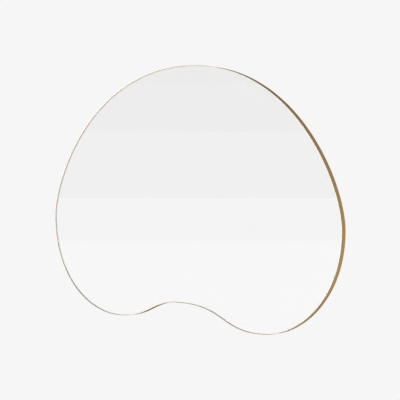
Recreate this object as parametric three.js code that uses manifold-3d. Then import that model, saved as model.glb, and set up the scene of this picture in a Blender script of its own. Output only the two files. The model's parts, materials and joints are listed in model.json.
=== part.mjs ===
// Free-form wall mirror: a silvered glass in a slim band frame, with two D-ring hangers behind it.
// Millimetres. Seen from the front, +X runs to the right and +Z is up; +Y points at the wall.
// The origin lies on the wall, midway between the pivots of the two hangers.

import * as THREE from 'three';
import { mergeVertices } from 'three/addons/utils/BufferGeometryUtils.js';
import Module from 'manifold-3d';

// ---------------------------------------------------------------------------------------------
// Driving dimensions
// ---------------------------------------------------------------------------------------------

// Outline of the frame. It touches its box at the crown, at both sides and under the right lobe,
// and has a smaller left lobe and a notch between the lobes. "Across" is measured from the middle
// of the width, "up" from the lowest point. A reach is the length of the curve's handle there: how
// strongly the edge keeps to its level or plumb line on that side before it turns away.
const mirrorWidth = 900;
const mirrorHeight = 698;
const crownAcross = -6;
const crownReachLeft = 322;
const crownReachRight = 316;
const rightSideUp = 267;
const rightSideReachUp = 121;
const rightSideReachDown = 168;
const rightLobeAcross = 225;
const rightLobeReachRight = 105;
const rightLobeReachLeft = 132;
const notchAcross = -48;
const notchUp = 72;
const notchReachRight = 157;
const notchReachLeft = 77;
const leftLobeAcross = -225;
const leftLobeUp = 31;
const leftLobeReachRight = 95;
const leftLobeReachLeft = 97;
const leftSideUp = 302;
const leftSideReachDown = 185;
const leftSideReachUp = 100;

// Frame band: a metal strip bent round the glass, which lies a little behind its front edge.
const frameDepth = 20;
const bandThickness = 1;
const glassRecess = 0.7;

// Layers inside the band, from the front to the back.
const glassThickness = 4;
const silverThickness = 0.15;
const filmThickness = 0.15;
const tapeThickness = 1;
const boardThickness = 8;
const edgeClearance = 0.5;

// Strips of foam tape between the backed glass and the board.
const tapeCount = 5;
const outerTapeFromSide = 130;
const tapeWidth = 25;
const tapeEndMargin = 40;

// Steel tabs welded inside the band, each screwed to the board.
const tabCount = 8;
const tabWidth = 14;
const tabLength = 14;
const tabThickness = 1.2;
const tabBelowRim = 1;
const tabScrewInset = 9.5;
const weldGap = 0.3;

// Screws, alike at the tabs and at the hangers.
const screwHeadRadius = 2.9;
const screwHeadHeight = 1.8;
const screwHeadRim = 0.8;
const screwDomeRadius = 2;
const screwDomeHeight = 1.6;
const screwShankRadius = 1.4;
const screwBite = 4;
const screwTipLength = 1.2;
const screwClearance = 0.3;

// D-ring hangers: a strap rolled into an eye, and a wire ring that swings in the eye.
const hangerFromSide = 260;
const crownAboveHangers = 181;
const strapWidth = 11;
const strapThickness = 1;
const strapLength = 37;
const strapEndRadius = 5;
const strapScrewPitch = 22;
const eyeRunningClearance = 0.35;
const eyeRollAngle = 290;
const ringWireRadius = 1.25;
const ringHalfWidth = 12.5;
const ringCornerRadius = 3;
const ringLegLength = 8;
const ringBowDepth = 9;
const firstScrewDrop = 8;

// Soft bumpers that keep the frame off the wall.
const bumperProud = 1.5;
const bumperBaseRadius = 8;
const bumperFootHeight = 1.4;
const bumperTipRadius = 6;
const bumperTipChamfer = 1;
const bumperInset = 45;
const upperBumperFromSide = 160;

// Fineness of the round shapes.
const outlineSteps = 160;
const roundSides = 12;
const wireSides = 8;
const wireSteps = 44;
const eyeSteps = 12;

// ---------------------------------------------------------------------------------------------
// Places that follow from the dimensions
// ---------------------------------------------------------------------------------------------

const sideX = mirrorWidth / 2;
const crownHeight = crownAboveHangers;
const lowestHeight = crownHeight - mirrorHeight;

const rimY = -bumperProud;
const frontY = rimY - frameDepth;
const glassFrontY = frontY + glassRecess;
const silverFrontY = glassFrontY + glassThickness;
const filmFrontY = silverFrontY + silverThickness;
const tapeFrontY = filmFrontY + filmThickness;
const boardFrontY = tapeFrontY + tapeThickness;
const boardRearY = boardFrontY + boardThickness;
const recessDepth = rimY - boardRearY;

const glassInset = bandThickness + edgeClearance;
const pilotRadius = screwShankRadius + screwClearance;
const pilotDepth = screwBite + screwClearance;
const eyeInnerRadius = ringWireRadius + eyeRunningClearance;
const eyeOuterRadius = eyeInnerRadius + strapThickness;
const pivotY = boardRearY + eyeOuterRadius;
const hangerPlaces = [
  { side: 'left', x: hangerFromSide - sideX },
  { side: 'right', x: sideX - hangerFromSide },
];
const strapScrewDrops = [firstScrewDrop, firstScrewDrop + strapScrewPitch];

// ---------------------------------------------------------------------------------------------
// Materials
// ---------------------------------------------------------------------------------------------

function finish(color, roughness, metalness) {
  return new THREE.MeshStandardMaterial({ color, roughness, metalness });
}

const satinBrass = () => finish(0xeac37e, 0.3, 1);
const clearGlass = () => finish(0xe3efe9, 0.02, 0);
const silver = () => finish(0xf0f0f0, 0.02, 1);
const greyFilm = () => finish(0x6f767b, 0.5, 0);
const whiteFoam = () => finish(0xe6e4dd, 0.9, 0);
const brownFibreboard = () => finish(0x9b7a55, 0.8, 0);
const zincSteel = () => finish(0xb4b6b5, 0.35, 1);
const softRubber = () => finish(0x2b2b2c, 0.75, 0);

// ---------------------------------------------------------------------------------------------
// Outline
// ---------------------------------------------------------------------------------------------

function frameOutline() {
  const rightZ = lowestHeight + rightSideUp;
  const leftZ = lowestHeight + leftSideUp;
  const notchZ = lowestHeight + notchUp;
  const leftLobeZ = lowestHeight + leftLobeUp;
  const path = new THREE.Path();
  path.moveTo(crownAcross, crownHeight);
  path.bezierCurveTo(
    crownAcross + crownReachRight, crownHeight,
    sideX, rightZ + rightSideReachUp,
    sideX, rightZ);
  path.bezierCurveTo(
    sideX, rightZ - rightSideReachDown,
    rightLobeAcross + rightLobeReachRight, lowestHeight,
    rightLobeAcross, lowestHeight);
  path.bezierCurveTo(
    rightLobeAcross - rightLobeReachLeft, lowestHeight,
    notchAcross + notchReachRight, notchZ,
    notchAcross, notchZ);
  path.bezierCurveTo(
    notchAcross - notchReachLeft, notchZ,
    leftLobeAcross + leftLobeReachRight, leftLobeZ,
    leftLobeAcross, leftLobeZ);
  path.bezierCurveTo(
    leftLobeAcross - leftLobeReachLeft, leftLobeZ,
    -sideX, leftZ - leftSideReachDown,
    -sideX, leftZ);
  path.bezierCurveTo(
    -sideX, leftZ + leftSideReachUp,
    crownAcross - crownReachLeft, crownHeight,
    crownAcross, crownHeight);
  return path;
}

// Evenly spaced stations round the outline, clockwise from the crown, each with its inward normal.
const stations = [];
const outline = frameOutline();
for (let i = 0; i < outlineSteps; i++) {
  const along = i / outlineSteps;
  const tangent = outline.getTangent(along);
  stations.push({ point: outline.getPoint(along), inward: new THREE.Vector2(tangent.y, -tangent.x) });
}

function outlineInsetBy(inset) {
  return stations.map(({ point, inward }) => point.clone().addScaledVector(inward, inset));
}

// The lowest and highest point of an inset outline on the plumb line at x.
function spanAt(x, inset) {
  const loop = outlineInsetBy(inset);
  const heights = [];
  loop.forEach((start, i) => {
    const end = loop[(i + 1) % loop.length];
    if ((start.x - x) * (end.x - x) <= 0 && start.x !== end.x) {
      heights.push(start.y + (end.y - start.y) * (x - start.x) / (end.x - start.x));
    }
  });
  return { low: Math.min(...heights), high: Math.max(...heights) };
}

// ---------------------------------------------------------------------------------------------
// Shape helpers
// ---------------------------------------------------------------------------------------------

const wasm = await Module();
wasm.setup();

function toSolid(geometry) {
  const bare = geometry.clone();
  bare.deleteAttribute('normal');
  bare.deleteAttribute('uv');
  const merged = mergeVertices(bare, 1e-4);
  return new wasm.Manifold(new wasm.Mesh({
    numProp: 3,
    vertProperties: Float32Array.from(merged.attributes.position.array),
    triVerts: Uint32Array.from(merged.index.array),
  }));
}

function toGeometry(solid) {
  const mesh = solid.getMesh();
  const geometry = new THREE.BufferGeometry();
  geometry.setAttribute('position', new THREE.BufferAttribute(mesh.vertProperties, 3));
  geometry.setIndex(new THREE.BufferAttribute(mesh.triVerts, 1));
  geometry.computeVertexNormals();
  return geometry;
}

// A flat plate parallel to the wall, from frontFaceY to frontFaceY + thickness.
function plate(points, thickness, frontFaceY) {
  const settings = { depth: thickness, bevelEnabled: false };
  const geometry = new THREE.ExtrudeGeometry(new THREE.Shape(points), settings);
  geometry.rotateX(Math.PI / 2);
  geometry.translate(0, frontFaceY + thickness, 0);
  return geometry;
}

function rectangle(left, right, low, high) {
  return [
    new THREE.Vector2(left, low),
    new THREE.Vector2(right, low),
    new THREE.Vector2(right, high),
    new THREE.Vector2(left, high),
  ];
}

// A closed ring with one section all round the outline. The section's corners are pairs of inset
// and depth behind firstY, listed inwards along the front, then back along the inside.
function ringRoundOutline(section, firstY) {
  const positions = [];
  for (const { point, inward } of stations) {
    for (const [inset, depth] of section) {
      positions.push(point.x + inward.x * inset, firstY + depth, point.y + inward.y * inset);
    }
  }
  const corners = section.length;
  const index = [];
  for (let i = 0; i < outlineSteps; i++) {
    const here = i * corners;
    const next = ((i + 1) % outlineSteps) * corners;
    for (let a = 0; a < corners; a++) {
      const b = (a + 1) % corners;
      index.push(here + a, here + b, next + b);
      index.push(here + a, next + b, next + a);
    }
  }
  const geometry = new THREE.BufferGeometry();
  geometry.setAttribute('position', new THREE.Float32BufferAttribute(positions, 3));
  geometry.setIndex(index);
  geometry.computeVertexNormals();
  return geometry;
}

function block(width, depth, height, x, y, z) {
  return new THREE.BoxGeometry(width, depth, height).translate(x, y, z);
}

// A round hole cutter along Y, from y = -depth to a little above y = 0.
function drill(radius, depth, x, y, z) {
  const overshoot = 2;
  const cutter = new THREE.CylinderGeometry(radius, radius, depth + overshoot, roundSides);
  return toSolid(cutter.translate(x, y + (overshoot - depth) / 2, z));
}

const mirror = new THREE.Group();
mirror.name = 'free_form_mirror';

function place(parent, name, geometry, material, x = 0, y = 0, z = 0) {
  const mesh = new THREE.Mesh(geometry, material);
  mesh.name = name;
  mesh.position.set(x, y, z);
  parent.add(mesh);
  return mesh;
}

// ---------------------------------------------------------------------------------------------
// Frame band
// ---------------------------------------------------------------------------------------------

const bandSection = [
  [0, 0],
  [bandThickness, 0],
  [bandThickness, frameDepth],
  [0, frameDepth],
];
place(mirror, 'frame_band', ringRoundOutline(bandSection, frontY), satinBrass());

// ---------------------------------------------------------------------------------------------
// Glass, silver, safety film and the foam tape behind them
// ---------------------------------------------------------------------------------------------

const glassLoop = outlineInsetBy(glassInset);
place(mirror, 'mirror_glass', plate(glassLoop, glassThickness, glassFrontY), clearGlass());
place(mirror, 'silver_layer', plate(glassLoop, silverThickness, silverFrontY), silver());
place(mirror, 'safety_film', plate(glassLoop, filmThickness, filmFrontY), greyFilm());

const outerTapeX = sideX - outerTapeFromSide;
for (let i = 0; i < tapeCount; i++) {
  const x = THREE.MathUtils.lerp(-outerTapeX, outerTapeX, i / (tapeCount - 1));
  const margin = glassInset + tapeEndMargin;
  const edges = [spanAt(x - tapeWidth / 2, margin), spanAt(x + tapeWidth / 2, margin)];
  const low = Math.max(edges[0].low, edges[1].low);
  const high = Math.min(edges[0].high, edges[1].high);
  const strip = rectangle(x - tapeWidth / 2, x + tapeWidth / 2, low, high);
  place(mirror, `foam_tape_${i + 1}`, plate(strip, tapeThickness, tapeFrontY), whiteFoam());
}

// ---------------------------------------------------------------------------------------------
// Backing board, with a pilot hole for every screw
// ---------------------------------------------------------------------------------------------

// A tab sits on the middle of a straight facet of the band, so its leg is parallel to the wall there.
const tabPlaces = [];
for (let i = 0; i < tabCount; i++) {
  const facet = Math.floor((i + 0.5) * outlineSteps / tabCount);
  const start = stations[facet].point;
  const end = stations[(facet + 1) % outlineSteps].point;
  const middle = start.clone().lerp(end, 0.5);
  const run = end.clone().sub(start).normalize();
  tabPlaces.push({ middle, inward: new THREE.Vector2(run.y, -run.x) });
}

const screwPlaces = [];
tabPlaces.forEach(({ middle, inward }, i) => {
  const spot = middle.clone().addScaledVector(inward, tabScrewInset);
  screwPlaces.push({ name: `tab_screw_${i + 1}`, x: spot.x, z: spot.y, grip: tabThickness });
});
for (const { side, x } of hangerPlaces) {
  strapScrewDrops.forEach((drop, i) => {
    screwPlaces.push({ name: `hanger_screw_${side}_${i + 1}`, x, z: -drop, grip: strapThickness });
  });
}

let board = toSolid(plate(glassLoop, boardThickness, boardFrontY));
for (const { x, z } of screwPlaces) {
  board = board.subtract(drill(pilotRadius, pilotDepth, x, boardRearY, z));
}
place(mirror, 'backing_board', toGeometry(board), brownFibreboard());

// ---------------------------------------------------------------------------------------------
// Frame tabs: each is an angle with one leg at the band and one foot on the board
// ---------------------------------------------------------------------------------------------

function tabGeometry() {
  const legStart = bandThickness + weldGap;
  const legHeight = recessDepth - tabBelowRim;
  const legZ = legStart + tabThickness / 2;
  const leg = block(tabWidth, legHeight, tabThickness, 0, legHeight / 2, legZ);
  const footZ = legStart + tabLength / 2;
  const foot = block(tabWidth, tabThickness, tabLength, 0, tabThickness / 2, footZ);
  const hole = drill(pilotRadius, tabThickness * 2, 0, tabThickness, tabScrewInset);
  return toGeometry(toSolid(leg).add(toSolid(foot)).subtract(hole));
}

tabPlaces.forEach(({ middle, inward }, i) => {
  const name = `frame_tab_${i + 1}`;
  const tab = place(mirror, name, tabGeometry(), zincSteel(), middle.x, boardRearY, middle.y);
  tab.rotation.y = Math.atan2(inward.x, inward.y);
});

// ---------------------------------------------------------------------------------------------
// Screws: a domed head on a pointed shank, its seat at y = 0
// ---------------------------------------------------------------------------------------------

function screwGeometry(grip) {
  const tipY = -(grip + screwBite);
  const profile = [
    new THREE.Vector2(0, tipY),
    new THREE.Vector2(screwShankRadius, tipY + screwTipLength),
    new THREE.Vector2(screwShankRadius, 0),
    new THREE.Vector2(screwHeadRadius, 0),
    new THREE.Vector2(screwHeadRadius, screwHeadRim),
    new THREE.Vector2(screwDomeRadius, screwDomeHeight),
    new THREE.Vector2(0, screwHeadHeight),
  ];
  return new THREE.LatheGeometry(profile, roundSides);
}

for (const { name, x, z, grip } of screwPlaces) {
  place(mirror, name, screwGeometry(grip), zincSteel(), x, boardRearY + grip, z);
}

// ---------------------------------------------------------------------------------------------
// Hanger straps: the strip lies on the board and its upper end rolls round the ring's bar
// ---------------------------------------------------------------------------------------------

// A point of the eye: 0 degrees lies on the board and the roll goes up, out to the wall and down.
function eyePoint(radius, degrees) {
  const angle = THREE.MathUtils.degToRad(degrees);
  return new THREE.Vector2(-radius * Math.cos(angle), radius * Math.sin(angle));
}

function strapGeometry() {
  const side = [new THREE.Vector2(-eyeOuterRadius, -strapLength)];
  for (let i = 0; i <= eyeSteps; i++) {
    side.push(eyePoint(eyeOuterRadius, eyeRollAngle * i / eyeSteps));
  }
  for (let i = eyeSteps; i >= 0; i--) {
    side.push(eyePoint(eyeInnerRadius, eyeRollAngle * i / eyeSteps));
  }
  side.push(new THREE.Vector2(-eyeInnerRadius, -strapLength));
  const settings = { depth: strapWidth, bevelEnabled: false };
  const rolled = new THREE.ExtrudeGeometry(new THREE.Shape(side), settings);
  const toSideView = new THREE.Matrix4().makeBasis(
    new THREE.Vector3(0, 1, 0), new THREE.Vector3(0, 0, 1), new THREE.Vector3(1, 0, 0));
  rolled.applyMatrix4(toSideView).translate(-strapWidth / 2, 0, 0);

  const half = strapWidth / 2;
  const arcX = half - strapEndRadius;
  const arcZ = strapEndRadius - strapLength;
  const face = new THREE.Shape();
  face.moveTo(-half, 2 * eyeOuterRadius);
  face.lineTo(-half, arcZ);
  face.absarc(-arcX, arcZ, strapEndRadius, Math.PI, Math.PI * 1.5);
  face.absarc(arcX, arcZ, strapEndRadius, Math.PI * 1.5, Math.PI * 2);
  face.lineTo(half, 2 * eyeOuterRadius);
  const blank = plate(face.getPoints(4), 4 * eyeOuterRadius, -2 * eyeOuterRadius);

  let strap = toSolid(rolled).intersect(toSolid(blank));
  for (const drop of strapScrewDrops) {
    strap = strap.subtract(drill(pilotRadius, 2 * strapThickness, 0, -eyeInnerRadius, -drop));
  }
  return toGeometry(strap);
}

for (const { side, x } of hangerPlaces) {
  place(mirror, `hanger_strap_${side}`, strapGeometry(), zincSteel(), x, pivotY, 0);
}

// ---------------------------------------------------------------------------------------------
// D-rings: bent wire, hanging down from its bar, which turns in the strap's eye
// ---------------------------------------------------------------------------------------------

function ringPath() {
  const at = (x, z) => new THREE.Vector3(x, 0, z);
  const barEnd = ringHalfWidth - ringCornerRadius;
  const bowHandle = ringBowDepth * 4 / 3;
  const path = new THREE.CurvePath();
  path.add(new THREE.LineCurve3(at(-barEnd, 0), at(barEnd, 0)));
  path.add(new THREE.QuadraticBezierCurve3(
    at(barEnd, 0), at(ringHalfWidth, 0), at(ringHalfWidth, -ringCornerRadius)));
  path.add(new THREE.LineCurve3(at(ringHalfWidth, -ringCornerRadius), at(ringHalfWidth, -ringLegLength)));
  path.add(new THREE.CubicBezierCurve3(
    at(ringHalfWidth, -ringLegLength), at(ringHalfWidth, -ringLegLength - bowHandle),
    at(-ringHalfWidth, -ringLegLength - bowHandle), at(-ringHalfWidth, -ringLegLength)));
  path.add(new THREE.LineCurve3(at(-ringHalfWidth, -ringLegLength), at(-ringHalfWidth, -ringCornerRadius)));
  path.add(new THREE.QuadraticBezierCurve3(
    at(-ringHalfWidth, -ringCornerRadius), at(-ringHalfWidth, 0), at(-barEnd, 0)));
  return path;
}

for (const { side, x } of hangerPlaces) {
  const wire = new THREE.TubeGeometry(ringPath(), wireSteps, ringWireRadius, wireSides, true);
  place(mirror, `d_ring_${side}`, wire, zincSteel(), x, pivotY, 0);
}

// ---------------------------------------------------------------------------------------------
// Bumpers: one over each lobe and one in each upper shoulder, from the board to the wall
// ---------------------------------------------------------------------------------------------

const bumperHeight = recessDepth + bumperProud;
const upperBumperX = sideX - upperBumperFromSide;
const bumperPlaces = [
  { x: -upperBumperX, z: spanAt(-upperBumperX, bumperInset).high },
  { x: upperBumperX, z: spanAt(upperBumperX, bumperInset).high },
  { x: leftLobeAcross, z: spanAt(leftLobeAcross, bumperInset).low },
  { x: rightLobeAcross, z: spanAt(rightLobeAcross, bumperInset).low },
];
const bumperProfile = [
  new THREE.Vector2(0, 0),
  new THREE.Vector2(bumperBaseRadius, 0),
  new THREE.Vector2(bumperBaseRadius, bumperFootHeight),
  new THREE.Vector2(bumperTipRadius, bumperHeight - bumperTipChamfer),
  new THREE.Vector2(bumperTipRadius - bumperTipChamfer, bumperHeight),
  new THREE.Vector2(0, bumperHeight),
];
bumperPlaces.forEach(({ x, z }, i) => {
  const shape = new THREE.LatheGeometry(bumperProfile, roundSides * 2);
  place(mirror, `wall_bumper_${i + 1}`, shape, softRubber(), x, boardRearY, z);
});

export default mirror;
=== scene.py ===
"""Looks of a free-form wall mirror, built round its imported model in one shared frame, in metres.

Seen from the front, +X runs to the right and +Z is up; +Y points at the wall, which is at y = 0.
"""

import json
import math

import bmesh
import bpy
import numpy as np
from bpy.props import FloatProperty, FloatVectorProperty, IntProperty, PointerProperty
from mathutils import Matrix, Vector


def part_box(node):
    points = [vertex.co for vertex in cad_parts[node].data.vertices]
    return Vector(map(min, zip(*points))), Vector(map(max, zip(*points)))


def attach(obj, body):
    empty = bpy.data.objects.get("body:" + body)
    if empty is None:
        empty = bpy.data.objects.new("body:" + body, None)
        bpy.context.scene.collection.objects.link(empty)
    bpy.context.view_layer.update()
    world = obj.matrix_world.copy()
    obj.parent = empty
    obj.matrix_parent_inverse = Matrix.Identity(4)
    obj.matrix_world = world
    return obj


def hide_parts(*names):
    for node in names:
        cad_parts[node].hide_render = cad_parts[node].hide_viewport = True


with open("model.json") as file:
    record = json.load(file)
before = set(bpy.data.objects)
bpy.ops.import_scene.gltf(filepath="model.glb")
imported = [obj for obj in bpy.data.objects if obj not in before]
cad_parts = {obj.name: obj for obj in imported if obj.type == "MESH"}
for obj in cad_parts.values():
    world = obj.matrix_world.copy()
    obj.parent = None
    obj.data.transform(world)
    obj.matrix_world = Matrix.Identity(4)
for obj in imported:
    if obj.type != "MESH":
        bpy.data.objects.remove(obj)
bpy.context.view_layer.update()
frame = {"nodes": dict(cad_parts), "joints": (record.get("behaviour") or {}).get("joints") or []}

bl_info = {
    "name": "Free-form wall mirror",
    "version": (1, 0, 0),
    "blender": (4, 5, 0),
    "location": "3D View > Sidebar > Mirror",
    "description": "Builds every finished piece of a free-form wall mirror round its packed model",
    "category": "Object",
}

MM = 0.001
SAME_PLANE = 0.01 * MM
SHORT_STEP = 0.2 * MM

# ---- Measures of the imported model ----


def corners(node):
    """The corners of a node's mesh, each once, as rows of x, y and z."""
    points = np.array([v.co for v in frame["nodes"][node].data.vertices], float)
    return np.unique(points.round(6), axis=0)


def depths(node):
    """The distinct y values of a node's corners, from the front to the wall."""
    return [float(y) for y in np.unique(corners(node)[:, 1].round(5))]


def corners_at(node, depth):
    """The corners of a node on the plane y = depth, as x and z."""
    points = corners(node)
    return points[abs(points[:, 1] - depth) < SAME_PLANE][:, [0, 2]]


def wall_of(node, depth):
    """How thick a ring is on the plane y = depth: the least distance between two corners there."""
    points = corners_at(node, depth)
    apart = np.linalg.norm(points[:, None] - points[None], axis=2)
    return float(apart[apart > SHORT_STEP].min())


def outline_of(node, depth):
    """The outline of a plate on the plane y = depth, counter-clockwise, as x and z."""
    points = corners_at(node, depth)
    x, z = (points - (points.min(0) + points.max(0)) / 2).T
    points = points[np.argsort(np.arctan2(z, x))]
    steps = np.linalg.norm(points - np.roll(points, 1, axis=0), axis=1)
    return points[steps > SHORT_STEP]


def named(start):
    """The nodes whose names begin alike, in order."""
    return sorted(name for name in frame["nodes"] if name.startswith(start))


def middle(node):
    """The middle of a node's box."""
    low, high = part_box(node)
    return (low + high) / 2


def flat_middle(node):
    """The middle of a node's box as x and z."""
    return np.array([middle(node).x, middle(node).z])


def from_axis(node):
    """How far each corner of a round node is from the line along Y through its middle."""
    return np.linalg.norm(corners(node)[:, [0, 2]] - flat_middle(node), axis=1)


band_front, band_rear = depths("frame_band")
glass_front, glass_rear = depths("mirror_glass")
board_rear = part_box("backing_board")[1].y
glass_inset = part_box("frame_band")[1].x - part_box("mirror_glass")[1].x
pivots = {joint["name"].split("_")[0]: Vector(joint["pos_m"]) for joint in frame["joints"]}

# ---- Settings that a user may change ----


def length(name, description, default):
    """A size in metres."""
    return FloatProperty(name=name, description=description, default=default, unit="LENGTH",
                         precision=5)


def share(name, description, default):
    """A number from 0 to 1."""
    return FloatProperty(name=name, description=description, default=default, min=0, max=1,
                         subtype="FACTOR")


def angle(name, description, default):
    """An angle in radians."""
    return FloatProperty(name=name, description=description, default=default, subtype="ANGLE")


def colour(name, description, default):
    """A linear colour."""
    return FloatVectorProperty(name=name, description=description, default=default,
                               subtype="COLOR", min=0, max=1, size=3)


class BandSettings(bpy.types.PropertyGroup):
    """The brass band round the glass."""

    outline_steps: IntProperty(
        name="Outline steps", description="Steps round the outline of the band and the glass",
        default=720, min=160)
    band_thickness: length("Band thickness", "Thickness of the metal strip",
                           wall_of("frame_band", band_front))
    edge_radius: length("Edge radius", "Rounding of the strip's edges", 0.45 * MM)
    brass: colour("Brass", "Colour of the brass finish", (0.82, 0.545, 0.21))
    brass_roughness: share("Brass roughness", "Roughness between the brushed lines", 0.30)
    # The edge brass and its wear are partly real rubbed wear and partly a painted highlight: pale,
    # almost white brass painted along the band's edges.
    worn_and_highlight_brass: colour("Worn and highlit brass", "Colour along the rubbed edges", (0.95, 0.88, 0.72))
    wear_and_highlight: share("Wear", "How bare the edges are rubbed", 0.9)
    wear_and_highlight_reach: length("Wear reach", "From an edge to where its wear ends", 1 * MM)


class GlassSettings(bpy.types.PropertyGroup):
    """The glass, its silver and the layers that back it."""

    arris: length("Arris", "Width of the ground chamfer along the edges of the glass", 0.4 * MM)
    silver_gap: length("Silver gap", "Space kept between the glass and the silver", 0.05 * MM)
    tint: colour("Tint", "Colour of the glass seen through its face", (0.9985, 1.0, 0.999))
    edge_tint: colour("Edge tint", "Colour of the ground edge", (0.90, 0.92, 0.87))
    # The edge glow is painted light: an emission on the ground edge, brighter towards the top of
    # the glass.
    edge_painted_glow: share("Edge glow", "Light that the glass carries to its ground edge", 0.22)
    painted_glow_start: share("Edge dark", "Height on the glass at which the glow starts", 0.08)
    painted_glow_full: share("Edge lit", "Height on the glass at which the glow is full", 0.28)
    silver: colour("Silver", "Colour of the silver layer", (0.975, 0.975, 0.972))
    film: colour("Film", "Colour of the safety film", (0.16, 0.18, 0.20))
    foam: colour("Foam", "Colour of the foam tape", (0.75, 0.74, 0.70))
    board: colour("Board", "Colour of the backing board", (0.36, 0.23, 0.12))


class HardwareSettings(bpy.types.PropertyGroup):
    """The metal hardware and the rubber bumpers on the back."""

    tab_bend_radius: length("Tab bend radius", "Radius of the bend in the middle of a tab",
                            1.3 * MM)
    tab_corner_radius: length("Tab corner radius", "Radius of a tab's corners", 2.5 * MM)
    edge_bevel: length("Edge bevel", "Rounding of the edges of stamped steel", 0.12 * MM)
    hole_radius: length("Hole radius", "Radius of a screw hole", 1.7 * MM)
    weld_size: length("Weld size", "Half the thickness of a tack weld", 0.7 * MM)
    weld_spread: length("Weld spread", "From the middle of a tab to each of its welds", 4.2 * MM)
    weld_turn: angle("Weld turn", "Largest turn of a tack weld", 0.3)
    screw_turn: angle("Screw turn", "Largest turn of a driven screw", math.pi / 2)
    seed: IntProperty(
        name="Seed", description="Seed of the turns of the screws and welds", default=7)
    ring_corner_radius: length("Ring corner radius", "Radius of the bends beside the ring's bar",
                               3 * MM)
    ring_leg_length: length("Ring leg length", "Straight length of the ring's sides", 8 * MM)
    steel: colour("Steel", "Colour of the zinc plated steel", (0.55, 0.56, 0.55))
    steel_grain: colour("Steel grain", "Colour of the lines in the zinc plate", (0.60, 0.58, 0.50))
    weld: colour("Weld", "Colour of a tack weld", (0.24, 0.22, 0.20))
    weld_stain: colour("Weld stain", "Colour of a tack weld where heat stained it",
                       (0.34, 0.27, 0.18))
    rubber: colour("Rubber", "Colour of the bumpers", (0.025, 0.025, 0.026))


class StudioSettings(bpy.types.PropertyGroup):
    """The camera, the lamps, the surroundings and the floor."""

    azimuth: angle("Azimuth", "How far the camera stands round from the front", math.radians(33))
    distance: length("Distance", "From the camera to its target", 3.9255)
    target: FloatVectorProperty(
        name="Target", description="The point at the middle of the picture", subtype="XYZ",
        default=(0.03267, -0.0215, -0.1734))
    lens: FloatProperty(name="Lens", description="Focal length in millimetres", default=135)
    background: share("Background", "Brightness of the background", 0.9216)
    ambient: share("Ambient", "Brightness of the surroundings as a light", 0.72)
    softbox_strength: FloatProperty(
        name="Softbox strength", description="Brightness of the softbox, as metal mirrors it",
        default=3.0)
    sun_strength: FloatProperty(
        name="Sun strength", description="Strength of each lamp", default=0.8)
    sun_width: angle("Sun width", "How wide each lamp looks from the mirror", math.radians(35))
    floor_drop: length("Floor drop", "From the hangers down to the floor", 1.6)
    floor_radius: length("Floor radius", "Radius of the floor", 6.0)
    floor_fade: length("Floor fade", "Radius from which the floor fades into the background", 2.5)
    floor: colour("Floor", "Colour of the floor", (0.90, 0.90, 0.90))


SETTINGS = {
    "mirror_band": BandSettings,
    "mirror_glass": GlassSettings,
    "mirror_hardware": HardwareSettings,
    "mirror_studio": StudioSettings,
}

# ---- Node trees ----


def input_of(node, key):
    """An input of a node by its number, or the enabled one with that name."""
    if isinstance(key, int):
        return node.inputs[key]
    return next(s for s in node.inputs if s.name == key and s.enabled)


def fill(tree, node, values):
    """Gives a node's inputs, by name or number, plain values or other nodes' outputs."""
    for key, value in dict(values).items():
        if isinstance(value, bpy.types.NodeSocket):
            tree.links.new(value, input_of(node, key))
        else:
            input_of(node, key).default_value = value


def put(tree, kind, values=(), output=0, **settings):
    """Adds a node to a tree, fills its inputs and returns one of its outputs, if it has any."""
    node = tree.nodes.new(kind)
    for name, value in settings.items():
        setattr(node, name, value)
    fill(tree, node, values)
    return node.outputs[output] if node.outputs else None


def maths(tree, operation, *values):
    """The output of a Math node."""
    return put(tree, "ShaderNodeMath", enumerate(values), operation=operation)


def vector_maths(tree, operation, *values, output=0):
    """An output of a Vector Math node."""
    return put(tree, "ShaderNodeVectorMath", enumerate(values), output, operation=operation)


def remap(tree, value, low=0.0, high=1.0, start=0.0, end=1.0, kind="LINEAR"):
    """A value that goes from low to high while the given one goes from start to end."""
    return put(tree, "ShaderNodeMapRange",
               {"Value": value, "From Min": start, "From Max": end, "To Min": low, "To Max": high},
               interpolation_type=kind)


def combine(tree, x=0.0, y=0.0, z=0.0):
    """A vector from three numbers."""
    return put(tree, "ShaderNodeCombineXYZ", {"X": x, "Y": y, "Z": z})


def separate(tree, vector):
    """The three numbers of a vector."""
    return put(tree, "ShaderNodeSeparateXYZ", {"Vector": vector}).node.outputs


def new_tree(name, kind, inputs, result, build):
    """A node group with named inputs and one result, which build makes from the given values.

    Each input is its kind of socket, with its value where it has one.
    """
    tree = bpy.data.node_groups.new(name, kind)
    for label, (socket, *default) in inputs.items():
        made = tree.interface.new_socket(label, in_out="INPUT", socket_type="NodeSocket" + socket)
        if default:
            made.default_value = default[0]
    tree.interface.new_socket(result[0], in_out="OUTPUT", socket_type="NodeSocket" + result[1])
    value = build(tree, tree.nodes.new("NodeGroupInput").outputs)
    tree.links.new(value, tree.nodes.new("NodeGroupOutput").inputs[0])
    return tree


def run_tree(piece, tree, values):
    """Gives a piece a Geometry Nodes modifier with these named values."""
    modifier = piece.modifiers.new(tree.name, "NODES")
    modifier.node_group = tree
    for item in tree.interface.items_tree:
        if item.in_out == "INPUT" and item.name in values:
            modifier[item.identifier] = values[item.name]


def geometry_tree(name, inputs, build):
    """A Geometry Nodes tree, which ends with instances made real and the material set."""
    def whole(tree, given):
        real = put(tree, "GeometryNodeRealizeInstances", {"Geometry": build(tree, given)})
        return put(tree, "GeometryNodeSetMaterial",
                   {"Geometry": real, "Material": given["Material"]})
    return new_tree(name, "GeometryNodeTree", {**inputs, "Material": ("Material",)},
                    ("Geometry", "Geometry"), whole)


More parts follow.
